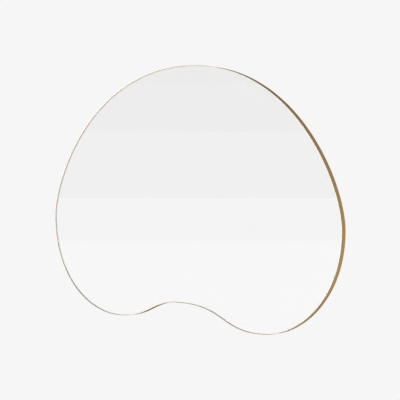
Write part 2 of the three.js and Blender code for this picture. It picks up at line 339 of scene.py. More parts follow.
def rounded_section(tree, places, radius):
    """A closed section curve with rounded corners, each place outwards and towards the wall."""
    switch = put(tree, "GeometryNodeIndexSwitch", data_type="VECTOR")
    for _ in places[2:]:
        switch.node.index_switch_items.new()
    tree.links.new(put(tree, "GeometryNodeInputIndex"), switch.node.inputs[0])
    for i, (outwards, depth) in enumerate(places):
        tree.links.new(combine(tree, outwards, depth), switch.node.inputs[i + 1])
    line = put(tree, "GeometryNodeMeshLine", {"Count": len(places)})
    placed = put(tree, "GeometryNodeSetPosition", {"Geometry": line, "Position": switch})
    curve = put(tree, "GeometryNodeMeshToCurve", {0: placed})
    closed = put(tree, "GeometryNodeSetSplineCyclic", {"Geometry": curve, "Cyclic": True})
    return put(tree, "GeometryNodeFilletCurve", {"Curve": closed, 1: 4, "Radius": radius},
               mode="POLY")


def store(tree, geometry, name, value):
    """Stores a vector on each point of a geometry."""
    return put(tree, "GeometryNodeStoreNamedAttribute",
               {"Geometry": geometry, "Name": name, "Value": value},
               data_type="FLOAT_VECTOR", domain="POINT")


def sweep_tree(name, sizes, section):
    """A tree that sweeps a section along a closed path drawn flat, and stands it upright.

    It stores two vectors for the finish: "round", a place on a circle as long as the path, and
    "section", the place on the section.
    """
    def build(tree, given):
        path = put(tree, "GeometryNodeMeshToCurve", {0: given["Path"]})
        path = put(tree, "GeometryNodeSetCurveNormal", {"Curve": path}, mode="Z_UP")
        turn = maths(tree, "MULTIPLY", put(tree, "GeometryNodeSplineParameter"), 2 * math.pi)
        way = combine(tree, maths(tree, "COSINE", turn), maths(tree, "SINE", turn))
        way = put(tree, "ShaderNodeVectorMath", {0: way, 3: given["Circle Radius"]},
                  operation="SCALE")
        path = store(tree, path, "round", way)
        place = put(tree, "GeometryNodeInputPosition")
        profile = store(tree, section(tree, given), "section", place)
        swept = put(tree, "GeometryNodeCurveToMesh", {"Curve": path, "Profile Curve": profile})
        upright = put(
            tree, "GeometryNodeTransform",
            {"Geometry": swept, "Rotation": (math.pi / 2, 0, 0), "Translation": given["Place"]})
        return put(tree, "GeometryNodeSetShadeSmooth", {"Geometry": upright, "Shade Smooth": True})
    inputs = {"Path": ("Geometry",), "Place": ("Vector",), "Circle Radius": ("Float", 0.1)}
    return geometry_tree(name, {**inputs, **{label: ("Float", 0.0) for label in sizes}}, build)


def scatter_tree():
    """A tree that puts a copy of a template at each point, its +Z along the point's "inward"."""
    def build(tree, given):
        template = put(tree, "GeometryNodeObjectInfo", {"Object": given["Template"]},
                       output="Geometry")
        inward = put(tree, "GeometryNodeInputNamedAttribute", {"Name": "inward"},
                     data_type="FLOAT_VECTOR")
        facing = put(tree, "FunctionNodeAxesToRotation",
                     {"Primary Axis": inward, "Secondary Axis": (0, 1, 0)},
                     primary_axis="Z", secondary_axis="Y")
        turn = put(tree, "FunctionNodeRandomValue",
                   {"Min": 0.0, "Max": given["Largest Turn"], "Seed": given["Seed"]},
                   output=1, data_type="FLOAT")
        turned = put(tree, "FunctionNodeEulerToRotation", {"Euler": combine(tree, 0.0, turn)})
        rotation = put(tree, "FunctionNodeRotateRotation",
                       {"Rotation": facing, "Rotate By": turned}, rotation_space="LOCAL")
        return put(tree, "GeometryNodeInstanceOnPoints",
                   {"Points": given["Places"], "Instance": template, "Rotation": rotation})
    inputs = {"Places": ("Geometry",), "Template": ("Object",), "Largest Turn": ("Float", 0.0),
              "Seed": ("Int", 0)}
    return geometry_tree("Scatter", inputs, build)


# ---- Shared effects of the materials ----


def slow_noise(tree, given):
    """Slow variation of a value over a surface."""
    noise = put(tree, "ShaderNodeTexNoise",
                {key: given[key] for key in ("Vector", "Scale", "Detail")})
    return remap(tree, noise, given["Low"], given["High"], 0.3, 0.7)


def brushed_lines(tree, given):
    """Fine parallel lines along X and Y of the given vector, stacked along its Z."""
    size = combine(tree, given["Line Length"], given["Line Length"], given["Line Width"])
    lines = vector_maths(tree, "DIVIDE", given["Vector"], size)
    noise = put(tree, "ShaderNodeTexNoise",
                {"Vector": lines, "Scale": 1.0, "Detail": 4.0, "Roughness": 0.65})
    return remap(tree, noise, start=0.25, end=0.75)


def worn_and_highlit_corner(tree, given):
    """A mask that is 1 on a corner of a section and fades to 0 within a reach."""
    away = vector_maths(tree, "DISTANCE", given["Section"], given["Corner"], output="Value")
    return remap(tree, away, start=given["Reach"], end=0.0, kind="SMOOTHSTEP")


EFFECTS = {
    "Mottle": (
        {"Vector": ("Vector",), "Scale": ("Float", 50.0), "Detail": ("Float", 3.0),
         "Low": ("Float", 0.0), "High": ("Float", 1.0)}, "Value", slow_noise),
    "Brushing": (
        {"Vector": ("Vector",), "Line Length": ("Float", 0.03), "Line Width": ("Float", 0.0003)},
        "Grain", brushed_lines),
    "Corner wear": (
        {"Section": ("Vector",), "Corner": ("Vector",), "Reach": ("Float", 0.001)},
        "Mask", worn_and_highlit_corner),
}


def effect(tree, name, values):
    """The output of a shared effect, whose group is built once, placed in a material."""
    group = bpy.data.node_groups.get(name)
    if not group:
        inputs, result, build = EFFECTS[name]
        group = new_tree(name, "ShaderNodeTree", inputs, (result, "Float"), build)
    return put(tree, "ShaderNodeGroup", values, node_tree=group)


def mottle(tree, place, scale, low=0.0, high=1.0, detail=3.0):
    """A value that varies slowly from low to high over a surface."""
    return effect(tree, "Mottle", {
        "Vector": place, "Scale": scale, "Detail": detail, "Low": low, "High": high})


def attribute(tree, name):
    """A vector stored on the piece."""
    return put(tree, "ShaderNodeAttribute", output="Vector", attribute_name=name)


def object_place(tree):
    """The place on the piece, in metres."""
    return put(tree, "ShaderNodeTexCoord", output="Object")


def rgba(colour_value, factor=1.0):
    """A colour with full alpha, made lighter or darker by a factor."""
    return tuple(min(1.0, c * factor) for c in colour_value) + (1.0,)


def blend(tree, factor, first, second):
    """A colour between two colours."""
    return put(tree, "ShaderNodeMix", {0: factor, 6: first, 7: second}, output=2,
               data_type="RGBA")


def shades(tree, factor, base, dark, light):
    """A colour that goes from a darker to a lighter shade of a base."""
    return blend(tree, factor, rgba(base, dark), rgba(base, light))


def bump(tree, height, distance, strength=1.0):
    """A normal from a height, at a distance in metres."""
    return put(tree, "ShaderNodeBump",
               {"Height": height, "Distance": distance, "Strength": strength})


def material(name):
    """Makes a function that gives a Principled shader's values one that returns the material.

    The material is built once. The function takes its tree, the place on the piece and settings.
    """
    def wrap(values_of):
        def made(settings):
            look = bpy.data.materials.get(name)
            if not look:
                look = bpy.data.materials.new(name)
                look.use_nodes = True
                tree = look.node_tree
                values = values_of(tree, object_place(tree), settings)
                fill(tree, tree.nodes["Principled BSDF"], values)
            return look
        return made
    return wrap


# ---- Materials ----


@material("Satin brass")
def satin_brass(tree, place, settings):
    """Brass brushed along the band, paler and smoother along its edges: partly rubbed wear, partly
    a painted highlight there.
    """
    section = attribute(tree, "section")
    outwards, depth, _ = separate(tree, section)
    across = combine(tree, z=maths(tree, "SUBTRACT", depth, outwards))
    path = vector_maths(tree, "ADD", attribute(tree, "round"), across)
    grain = effect(tree, "Brushing", {"Vector": path, "Line Length": 0.045, "Line Width": 0.0004})
    cloud = maths(tree, "MULTIPLY", mottle(tree, place, 9.0), 0.5)
    # The edge mask carries rubbed wear and a painted highlight on the band's four corners.
    wear_and_highlight = 0.0
    for outside in (glass_inset, glass_inset - settings.band_thickness):
        for end in (band_front, band_rear):
            mask = effect(tree, "Corner wear", {
                "Section": section, "Corner": (outside, end, 0), "Reach": settings.wear_and_highlight_reach})
            wear_and_highlight = maths(tree, "MAXIMUM", wear_and_highlight, mask)
    brushed = shades(tree, grain, settings.brass, 0.93, 1.07)
    toned = blend(tree, cloud, brushed, rgba(settings.brass, 1.04))
    rough = remap(tree, grain, settings.brass_roughness + 0.06, settings.brass_roughness - 0.05)
    # Painted highlight and wear: the edges take the pale brass.
    return {
        "Base Color": blend(tree, maths(tree, "MULTIPLY", wear_and_highlight, settings.wear_and_highlight), toned,
                            rgba(settings.worn_and_highlight_brass)),
        "Metallic": 1.0,
        "Roughness": maths(tree, "SUBTRACT", rough, maths(tree, "MULTIPLY", wear_and_highlight, 0.06)),
        "Normal": bump(tree, grain, 0.004 * MM),
    }


@material("Clear glass")
def clear_glass(tree, place, settings):
    """Clear float glass."""
    return {
        "Base Color": shades(tree, mottle(tree, place, 3.0), settings.tint, 1.0, 0.997),
        "Roughness": 0.0, "IOR": 1.52, "Transmission Weight": 1.0,
    }


@material("Ground glass edge")
def ground_edge(tree, place, settings):
    """The ground edge of the glass: frosted, a little green, with painted light from an emission
    that stands in for the light the glass would carry to it.

    The painted light is full on its upper part and gone near its foot.
    """
    grit = mottle(tree, place, 2500.0)
    low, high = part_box("mirror_glass")
    start, end = (low.z + part * (high.z - low.z)
                  for part in (settings.painted_glow_start, settings.painted_glow_full))
    lit = remap(tree, separate(tree, place)[2], start=start, end=end)
    return {
        "Base Color": shades(tree, mottle(tree, place, 120.0), settings.edge_tint, 0.92, 1.08),
        "Roughness": remap(tree, grit, 0.5, 0.75),
        "IOR": 1.52,
        # Painted light: the ground edge glows, fully on its upper part, instead of being lit.
        "Emission Color": shades(tree, lit, settings.edge_tint, 0.0, 1.0),
        "Emission Strength": settings.edge_painted_glow,
        "Normal": bump(tree, grit, 0.01 * MM),
    }


@material("Mirror silver")
def mirror_silver(tree, place, settings):
    """The silver behind the glass, with the faint haze of its grain."""
    return {
        "Base Color": shades(tree, mottle(tree, place, 5.0), settings.silver, 1.0, 1.002),
        "Metallic": 1.0,
        "Roughness": mottle(tree, place, 14.0, 0.0, 0.003),
    }


@material("Safety film")
def safety_film(tree, place, settings):
    """Woven film glued over the painted silver."""
    cloth = maths(tree, "MAXIMUM", *(
        put(tree, "ShaderNodeTexWave", {"Vector": place, "Scale": 320.0}, output="Fac",
            bands_direction=way)
        for way in ("X", "Z")))
    return {
        "Base Color": shades(tree, cloth, settings.film, 0.75, 1.2),
        "Roughness": mottle(tree, place, 60.0, 0.4, 0.6),
        "Normal": bump(tree, cloth, 0.05 * MM),
    }


@material("Pale foam")
def foam(tree, place, settings):
    """Pale closed-cell foam of the tapes."""
    cells = put(tree, "ShaderNodeTexVoronoi", {"Vector": place, "Scale": 2200.0})
    return {
        "Base Color": shades(tree, mottle(tree, place, 90.0), settings.foam, 1.0, 1.08),
        "Roughness": remap(tree, cells, 0.95, 0.8),
        "Specular IOR Level": 0.3,
        "Normal": bump(tree, cells, 0.06 * MM),
    }


# How each layer of strands lies in the board, in radians, and how fine its noise is each way.
STRAND_TURNS = (0.2, 1.3, 2.4)
STRAND_SCALE = (1900, 700, 260)


@material("Raw fibreboard")
def fibreboard(tree, place, settings):
    """Raw fibreboard: pressed strands in three layers, with darker flecks."""
    strands = None
    for turn in STRAND_TURNS:
        turned = put(tree, "ShaderNodeVectorRotate", {"Vector": place, "Angle": turn},
                     rotation_type="Y_AXIS")
        lie = vector_maths(tree, "MULTIPLY", turned, STRAND_SCALE)
        layer = put(tree, "ShaderNodeTexNoise", {"Vector": lie, "Scale": 1.0, "Detail": 2.0})
        strands = maths(tree, "MAXIMUM", strands, layer) if strands else layer
    fibre = remap(tree, strands, start=0.48, end=0.75)
    fleck = maths(tree, "MULTIPLY", mottle(tree, place, 420.0, -1.6, 1.0, 2.0), 0.5)
    cloud = maths(tree, "MULTIPLY", mottle(tree, place, 7.0), 0.35)
    ground = shades(tree, fibre, settings.board, 0.82, 1.25)
    clouded = blend(tree, cloud, ground, rgba(settings.board, 1.1))
    return {
        "Base Color": blend(tree, fleck, clouded, rgba(settings.board, 0.45)),
        "Roughness": mottle(tree, place, 200.0, 0.72, 0.9),
        "Specular IOR Level": 0.3,
        "Normal": bump(tree, fibre, 0.05 * MM, 0.6),
    }


@material("Zinc plated steel")
def zinc_steel(tree, place, settings):
    """Zinc plated steel, stamped and lightly tumbled."""
    lines = put(tree, "ShaderNodeMapping", {"Vector": place, "Rotation": (0.3, 0.6, 0.2)})
    grain = effect(tree, "Brushing",
                   {"Vector": lines, "Line Length": 0.006, "Line Width": 0.00025})
    plated = shades(tree, mottle(tree, place, 160.0, detail=4.0), settings.steel, 0.9, 1.1)
    rough = mottle(tree, place, 420.0, 0.3, 0.46)
    return {
        "Base Color": blend(tree, maths(tree, "MULTIPLY", grain, 0.3), plated,
                            rgba(settings.steel_grain)),
        "Metallic": 1.0,
        "Roughness": maths(tree, "ADD", rough, maths(tree, "MULTIPLY", grain, 0.08)),
        "Normal": bump(tree, grain, 0.004 * MM),
    }


@material("Weld steel")
def weld_steel(tree, place, settings):
    """A tack weld: rippled and heat stained."""
    ripple = mottle(tree, place, 1400.0, detail=2.0)
    return {
        "Base Color": blend(tree, mottle(tree, place, 500.0), rgba(settings.weld),
                            rgba(settings.weld_stain)),
        "Metallic": 0.9,
        "Roughness": remap(tree, ripple, 0.45, 0.65),
        "Normal": bump(tree, ripple, 0.06 * MM),
    }


@material("Soft rubber")
def soft_rubber(tree, place, settings):
    """Moulded rubber with a fine grain and a grey bloom."""
    grain = mottle(tree, place, 2600.0, detail=2.0)
    bloom = mottle(tree, place, 240.0, 0.0, 0.6)
    return {
        "Base Color": shades(tree, bloom, settings.rubber, 1.0, 2.2),
        "Roughness": remap(tree, grain, 0.62, 0.8),
        "Specular IOR Level": 0.35,
        "Normal": bump(tree, grain, 0.02 * MM),
    }


# ---- Shapes ----


def smooth_loop(points, count):
    """Evenly stepped points of the smooth closed curve, a periodic cubic spline, through points."""
    before, after = np.roll(points, 1, axis=0), np.roll(points, -1, axis=0)
    size = len(points)
    one = np.eye(size)
    weights = 4 * one + np.roll(one, 1, axis=0) + np.roll(one, -1, axis=0)
    bend = np.linalg.solve(weights, before - 2 * points + after)
    where = np.arange(count) * size / count
    i = where.astype(int)
    j = (i + 1) % size
    t = (where - i)[:, None]
    s = 1 - t
    return s * points[i] + t * points[j] + (s**3 - s) * bend[i] + (t**3 - t) * bend[j]


def inset_loop(loop, inset):
    """A counter-clockwise loop moved inwards."""
    along = np.roll(loop, -1, axis=0) - np.roll(loop, 1, axis=0)
    inward = np.stack([-along[:, 1], along[:, 0]], axis=1)
    return loop + inset * inward / np.linalg.norm(inward, axis=1, keepdims=True)


def circle(radius, sides):
    """Points of a circle round the origin, as pairs."""
    turns = 2 * math.pi * np.arange(sides) / sides
    return [(radius * math.cos(turn), radius * math.sin(turn)) for turn in turns]


def joins(count, rings, first=0):
    """The faces between rings of corners that follow each other, with as many corners each."""
    return [(start + k, start + n, start + count + n, start + count + k)
            for start in range(first, first + (rings - 1) * count, count)
            for k, n in enumerate([*range(1, count), 0])]


def new_piece(name, vertices, faces=(), edges=()):
    """A mesh object at the origin."""
    mesh = bpy.data.meshes.new(name)
    mesh.from_pydata([tuple(map(float, v)) for v in vertices], list(edges), list(faces))
    piece = bpy.data.objects.new(name, mesh)
    bpy.context.scene.collection.objects.link(piece)
    return piece


def closed_path(name, points):
    """A closed line drawn flat, for a sweep: x stays x, and height is drawn along Y."""
    count = len(points)
    edges = [(i, (i + 1) % count) for i in range(count)]
    return new_piece(name, [(x, z, 0) for x, z in points], edges=edges)


def make_plain(piece):
    """Turns what a piece's modifiers make of it into its plain mesh."""
    bpy.context.view_layer.update()
    graph = bpy.context.evaluated_depsgraph_get()
    mesh = bpy.data.meshes.new_from_object(
        piece.evaluated_get(graph), preserve_all_data_layers=True, depsgraph=graph)
    if not len(mesh.polygons):
        raise RuntimeError(f"{piece.name} came out empty")
    rough, piece.data = piece.data, mesh
    piece.modifiers.clear()
    bpy.data.meshes.remove(rough)
    mesh.name = piece.name
    return piece


def soften(piece, width, sharp=math.radians(35)):
    """Rounds the sharp edges of a piece and shades it smooth without bending its flats."""
    piece.data.shade_smooth()
    bevel = piece.modifiers.new("Edges", "BEVEL")
    bevel.width = width
    bevel.segments = 2
    bevel.limit_method = "ANGLE"
    bevel.angle_limit = sharp
    piece.modifiers.new("Normals", "WEIGHTED_NORMAL").weight = 100
    return make_plain(piece)


def smooth_up_to(piece, degrees):
    """Shades a piece smooth, with its edges sharp where they turn more than an angle."""
    piece.data.shade_smooth()
    piece.data.set_sharp_from_angle(angle=math.radians(degrees))
    return piece


def point_outwards(piece):
    """Turns every face of a closed mesh outwards."""
    shape = bmesh.new()
    shape.from_mesh(piece.data)
    bmesh.ops.recalc_face_normals(shape, faces=shape.faces)
    shape.to_mesh(piece.data)
    shape.free()
    return piece


def belong(piece, body, nodes=()):
    """Makes a finished piece ride on a body and stand for its nodes, which it hides."""
    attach(piece, body)
    if nodes:
        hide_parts(*nodes)


def dress(nodes, look):
    """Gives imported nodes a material."""
    for name in nodes:
        slots = frame["nodes"][name].data.materials
        slots.clear()
        slots.append(look)


def strip(name, path, half_widths, thickness):
    """A strip of sheet metal, from its middle line as y and z and its half width at each point."""
    path = np.array(path)
    along = np.gradient(path, axis=0)
    aside = np.stack([-along[:, 1], along[:, 0]], axis=1)
    aside *= thickness / 2 / np.linalg.norm(aside, axis=1, keepdims=True)
    vertices = [(x, *(place + side * shift))
                for place, shift, half in zip(path, aside, half_widths)
                for x, side in ((-half, -1), (half, -1), (half, 1), (-half, 1))]
    last = len(vertices) - 4
    ends = [(0, 1, 2, 3), (last, last + 1, last + 2, last + 3)]
    return point_outwards(new_piece(name, vertices, ends + joins(4, len(path))))


def lathe(name, profile, sides, sink=lambda r, turn, y: 0):
    """A closed solid turned round the Y axis, from its outline as radius and y, bottom to top.

    Sink gives how far a point drops, from its radius, angle and y.
    """
    rings = [(r, y) for r, y in profile if r > 0]
    turns = [2 * math.pi * k / sides for k in range(sides)]
    vertices = [(r * math.cos(turn), y - sink(r, turn, y), r * math.sin(turn))
                for r, y in rings for turn in turns]
    faces = joins(sides, len(rings))
    for (_, y), start in ((profile[0], 0), (profile[-1], (len(rings) - 1) * sides)):
        tip = len(vertices)
        vertices.append((0, y - sink(0, 0, y), 0))
        faces += [(start + k, start + (k + 1) % sides, tip) for k in range(sides)]
    return point_outwards(new_piece(name, vertices, faces))


def arc(middle_r, middle_y, radius, start, end, steps=4):
    """Points of an arc in a profile, with its angles in degrees from the radius direction."""
    turns = np.radians(np.linspace(start, end, steps))
    return [(middle_r + radius * math.cos(a), middle_y + radius * math.sin(a)) for a in turns]


def drill(piece, places, radius, sides=32, reach=20 * MM):
    """Cuts round holes along Y through a piece, at places given as x and z."""
    vertices = []
    faces = []
    for x, z in places:
        first = len(vertices)
        vertices += [(x + a, y, z + b) for y in (-reach, reach) for a, b in circle(radius, sides)]
        faces += [tuple(range(start, start + sides)) for start in (first, first + sides)]
        faces += joins(sides, 2, first)
    cutter = point_outwards(new_piece("cutter", vertices, faces))
    cut = piece.modifiers.new("Holes", "BOOLEAN")
    cut.operation = "DIFFERENCE"
    cut.solver = "EXACT"
    cut.object = cutter
    make_plain(piece)
    bpy.data.objects.remove(cutter)


def scatter(name, template, places, look, inwards=(), turn=0.0, seed=0):
    """One piece with a copy of a template at each place, and the template removed.

    Inwards gives the way that each copy's +Z points, which is upwards without it.
    """
    piece = new_piece(name, places)
    if not len(inwards):
        inwards = [(0, 0, 1)] * len(places)
    stored = piece.data.attributes.new("inward", "FLOAT_VECTOR", "POINT")
    stored.data.foreach_set("vector", [float(c) for way in inwards for c in way])
    tree = bpy.data.node_groups.get("Scatter") or scatter_tree()
    run_tree(piece, tree,
             {"Template": template, "Largest Turn": turn, "Seed": seed, "Material": look})
    make_plain(piece)
    bpy.data.objects.remove(template)
    return piece


# ---- Pieces ----


def glass_loop(settings):
    """The edge of the glass, which the band follows."""
    return smooth_loop(outline_of("mirror_glass", glass_front), settings.outline_steps)


def room_outside(loop):
    """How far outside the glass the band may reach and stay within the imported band's box."""
    low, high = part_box("frame_band")
    return float(min(*(loop.min(0) - (low.x, low.z)), *((high.x, high.z) - loop.max(0))))


def circle_radius(loop):
    """The radius of a circle as long as a loop."""
    steps = np.linalg.norm(loop - np.roll(loop, 1, axis=0), axis=1)
    return float(steps.sum()) / (2 * math.pi)


def band_section(tree, given):
    """The section of the metal strip, with rounded edges."""
    outside = given["Glass Inset"]
    inside = maths(tree, "SUBTRACT", outside, given["Band Thickness"])
    front, rear = given["Front"], given["Rear"]
    places = [(outside, front), (outside, rear), (inside, rear), (inside, front)]
    return rounded_section(tree, places, given["Edge Radius"])


def wire_section(tree, given):
    """A round wire."""
    return put(tree, "GeometryNodeCurvePrimitiveCircle",
               {"Resolution": 16, "Radius": given["Wire Radius"]})


class MIRROR_OT_brass_band(bpy.types.Operator):
    """Build the brushed brass band round the glass"""

    bl_idname = "mirror.brass_band"
    bl_label = "Brass band"

    def execute(self, context):
        settings = context.scene.mirror_band
        loop = glass_loop(settings)
        sizes = {
            "Glass Inset": room_outside(loop), "Band Thickness": settings.band_thickness,
            "Front": band_front, "Rear": band_rear, "Edge Radius": settings.edge_radius}
        band = closed_path("brass_band", loop)
        run_tree(band, sweep_tree("Band sweep", sizes, band_section), {
            **sizes, "Circle Radius": circle_radius(loop), "Material": satin_brass(settings)})
        band.modifiers.new("Normals", "WEIGHTED_NORMAL").weight = 100
        belong(make_plain(band), "mirror", ["frame_band"])
        return {"FINISHED"}


class MIRROR_OT_glass(bpy.types.Operator):
    """Build the glass with its ground edge, and dress the silver behind it"""

    bl_idname = "mirror.glass"
    bl_label = "Glass and silver"

    def execute(self, context):
        settings = context.scene.mirror_glass
        edge = glass_loop(context.scene.mirror_band)
        chamfer = inset_loop(edge, settings.arris)
        rear = glass_rear - settings.silver_gap
        rings = [
            (chamfer, glass_front), (edge, glass_front + settings.arris),
            (edge, rear - settings.arris), (chamfer, rear)]
        count = len(edge)
        vertices = [(x, y, z) for ring, y in rings for x, z in ring]
        flats = [tuple(range(count)), tuple(range(3 * count, 4 * count))]
        glass = point_outwards(new_piece("clear_glass", vertices, flats + joins(count, 4)))
        glass.data.materials.append(clear_glass(settings))
        glass.data.materials.append(ground_edge(settings))
        for face in glass.data.polygons:
            face.use_smooth = face.material_index = int(len(face.vertices) == 4)
        glass.data.set_sharp_from_angle(angle=math.radians(30))
        belong(glass, "mirror", ["mirror_glass"])
        dress(["silver_layer"], mirror_silver(settings))
        return {"FINISHED"}


class MIRROR_OT_backing(bpy.types.Operator):
    """Dress the safety film, the foam tape and the backing board"""

    bl_idname = "mirror.backing"
    bl_label = "Film, tape and board"

    def execute(self, context):
        settings = context.scene.mirror_glass
        dress(["safety_film"], safety_film(settings))
        dress(named("foam_tape_"), foam(settings))
        dress(["backing_board"], fibreboard(settings))
        return {"FINISHED"}


def outline_of_band():
    """The outer corners of the band, one for each corner of the glass's outline."""
    band = corners_at("frame_band", band_front)
    glass = outline_of("mirror_glass", glass_front)
    outer = []
    for point in glass:
        near = band[np.linalg.norm(band - point, axis=1) < 1.5 * glass_inset]
        outer.append(near[np.linalg.norm(near - glass.mean(0), axis=1).argmax()])
    return np.array(outer)


def tab_facing(screw):
    """Where a tab meets the band's outline, and its ways inwards and along it, from its screw."""
    start = outline_of_band()
    run = np.roll(start, -1, axis=0) - start
    to_screw = flat_middle(screw) - start
    t = np.clip((to_screw * run).sum(1) / (run**2).sum(1), 0, 1)[:, None]
    nearest = start + t * run
    away = flat_middle(screw) - nearest
    k = np.linalg.norm(away, axis=1).argmin()
    inward = away[k] / np.linalg.norm(away[k])
    return nearest[k], inward, np.array([-inward[1], inward[0]])


def tab_template(settings):
    """An angle of sheet steel: its leg at the band, its foot on the board with a screw hole."""
    node, screw = "frame_tab_1", "tab_screw_1"
    at, inward, sideways = tab_facing(screw)
    offset = corners(node)[:, [0, 2]] - at
    levels = depths(node)
    thickness = levels[1] - board_rear
    floor = thickness / 2
    leg = float((offset @ inward).min()) + floor
    reach = float((offset @ inward).max())
    half = float(np.ptp(offset @ sideways)) / 2
    bend = settings.tab_bend_radius
    corner = settings.tab_corner_radius
    path = [(levels[-1] - board_rear, leg), (floor + bend, leg)]
    path += [(floor + bend - bend * math.sin(a), leg + bend - bend * math.cos(a))
             for a in np.radians(np.linspace(15, 90, 6))]
    widths = [half] * len(path)
    for a in np.radians(np.linspace(0, 85, 9)):
        path.append((floor, reach - corner + corner * math.sin(a)))
        widths.append(half - corner + corner * math.cos(a))
    tab = strip("tab", path, widths, thickness)
    drill(tab, [(0, float((flat_middle(screw) - at) @ inward))], settings.hole_radius)
    return soften(tab, settings.edge_bevel)


def weld_template(size, stretch=2.1, sides=20):
    """A tack weld: a bead longer than it is thick, with a crater in its wall side."""
    profile = [(0, -size), *arc(0, 0, size, -75, 60, 10), (0.3 * size, 0.72 * size),
               (0, 0.66 * size)]
    bead = lathe("weld", profile, sides)
    for vertex in bead.data.vertices:
        vertex.co.x *= stretch
    bead.data.shade_smooth()
    return bead


class MIRROR_OT_frame_tabs(bpy.types.Operator):
    """Build the steel tabs inside the band and the tack welds that hold them"""

    bl_idname = "mirror.frame_tabs"
    bl_label = "Tabs and welds"

    def execute(self, context):
        settings = context.scene.mirror_hardware
        tabs = named("frame_tab_")
        weld_depth = context.scene.mirror_band.band_thickness + 0.3 * settings.weld_size
        places = []
        inwards = []
        welds = []
        for tab, screw in zip(tabs, named("tab_screw_")):
            at, inward, sideways = tab_facing(screw)
            places.append((at[0], board_rear, at[1]))
            inwards.append((inward[0], 0, inward[1]))
            for aside in (-settings.weld_spread, settings.weld_spread):
                spot = at + inward * weld_depth + aside * sideways
                welds.append((spot[0], depths(tab)[-1], spot[1]))
        piece = scatter("frame_tabs", tab_template(settings), places, zinc_steel(settings),
                        inwards)
        belong(piece, "mirror", tabs)
        piece = scatter("tack_welds", weld_template(settings.weld_size), welds,
                        weld_steel(settings), np.repeat(inwards, 2, axis=0),
                        settings.weld_turn, settings.seed)
        belong(piece, "mirror")
        return {"FINISHED"}


# The shares of a screw head's radius at which the rings of its dome lie.
DOME_RINGS = (0.985, 0.94, 0.86, 0.76, 0.66, 0.58, 0.54, 0.5, 0.42, 0.32, 0.22, 0.13, 0.06)


def screw_template(seat):
    """A pan-head screw with a cross recess, its seat at y = 0."""
    node = "tab_screw_1"
    low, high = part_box(node)
    radius = (high.x - low.x) / 2
    height = high.y - seat
    tip = low.y - seat
    away = from_axis(node)
    in_wood = corners(node)[:, 1] < seat - SAME_PLANE
    shank = float(np.median(away[in_wood & (away > SAME_PLANE)]))
    rim = 0.35 * height
    recess = 0.55 * radius
    arm, arm_slope, end_slope = 0.16 * radius, 0.05 * radius, 0.06 * radius

    def dome(r):
        return rim + (height - rim) * math.sqrt(max(0.0, 1 - (r / radius) ** 2.6))

    def sink(r, turn, y):
        if y < rim:
            return 0.0
        slant = (turn + math.pi / 4) % (math.pi / 2) - math.pi / 4
        wall = min(1.0, max(0.0, (arm - abs(r * math.sin(slant))) / arm_slope))
        end = min(1.0, max(0.0, (recess - r) / end_slope))
        return wall * end * height * (0.72 - 0.4 * r / recess)

    profile = [(0, tip), (0.3 * shank, tip + 0.2 * MM), (shank, tip + 1.2 * MM), (shank, 0),
               (radius, 0), (radius, 0.6 * rim)]
    profile += [(part * radius, dome(part * radius)) for part in DOME_RINGS]
    profile.append((0, height))
    return smooth_up_to(lathe("screw", profile, 48, sink), 38)


def screw_seat(node):
    """The y of the face under a screw's head."""
    away = from_axis(node)
    return float(corners(node)[away > 0.9 * away.max()][:, 1].min())


class MIRROR_OT_screws(bpy.types.Operator):
    """Build the screws of the tabs and the hangers"""

    bl_idname = "mirror.screws"
    bl_label = "Screws"

    def execute(self, context):
        settings = context.scene.mirror_hardware
        screws = named("tab_screw_") + named("hanger_screw_")
        places = [(middle(name).x, screw_seat(name), middle(name).z) for name in screws]
        piece = scatter("pan_head_screws", screw_template(screw_seat(screws[0])), places,
                        zinc_steel(settings), turn=settings.screw_turn, seed=settings.seed)
        belong(piece, "mirror", screws)
        return {"FINISHED"}


def strap_template(settings, eye_turn=290):
    """A hanger strap: flat on the board, its upper end rolled round the ring's bar at the origin.

    The eye's turn is how far the end is rolled, in degrees.
    """
    node = "hanger_strap_left"
    pivot = pivots["left"]
    low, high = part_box(node)
    shape = corners(node)
    thickness = float(np.ptp(shape[shape[:, 2] < low.z + 0.1 * MM][:, 1]))
    half = (high.x - low.x) / 2
    roll = pivot.y - low.y - thickness / 2
    corner = half - 0.5 * MM
    drop = pivot.z - low.z
    path = []
    widths = []
    for a in np.radians(np.linspace(5, 90, 10)):
        path.append((-roll, -drop + corner - corner * math.cos(a)))
        widths.append(half - corner + corner * math.sin(a))
    turned = np.radians(np.linspace(0, eye_turn, 36))
    path += [(-roll * math.cos(a), roll * math.sin(a)) for a in turned]
    widths += [half] * len(turned)
    strap = strip("strap", path, widths, thickness)
    screws = named("hanger_screw_left")
    drill(strap, [(0, middle(name).z - pivot.z) for name in screws], settings.hole_radius)
    return soften(strap, settings.edge_bevel)


class MIRROR_OT_hanger_straps(bpy.types.Operator):
    """Build the two hanger straps"""

    bl_idname = "mirror.hanger_straps"
    bl_label = "Hanger straps"

    def execute(self, context):
        settings = context.scene.mirror_hardware
        piece = scatter("hanger_straps", strap_template(settings), list(pivots.values()),
                        zinc_steel(settings))
        belong(piece, "mirror", named("hanger_strap_"))
        return {"FINISHED"}


def bezier(handles, count):
    """Evenly stepped points of the Bezier curve with these handles."""
    t = np.linspace(0, 1, count)[:, None]
    points = np.array(handles)[:, None]
    while len(points) > 1:
        points = (1 - t) * points[:-1] + t * points[1:]
    return points[0]


def ring_outline(settings, half, bottom):
    """The middle line of a ring's wire, counter-clockwise from the bar's left end, as x and z."""
    corner = settings.ring_corner_radius
    leg = settings.ring_leg_length
    pull = (bottom + leg) * 4 / 3 - leg
    return np.concatenate([
        bezier([(corner - half, 0), (-half, 0), (-half, -corner)], 9),
        bezier([(-half, -leg), (-half, pull), (half, pull), (half, -leg)], 33),
        bezier([(half, -corner), (half, 0), (half - corner, 0)], 9)])


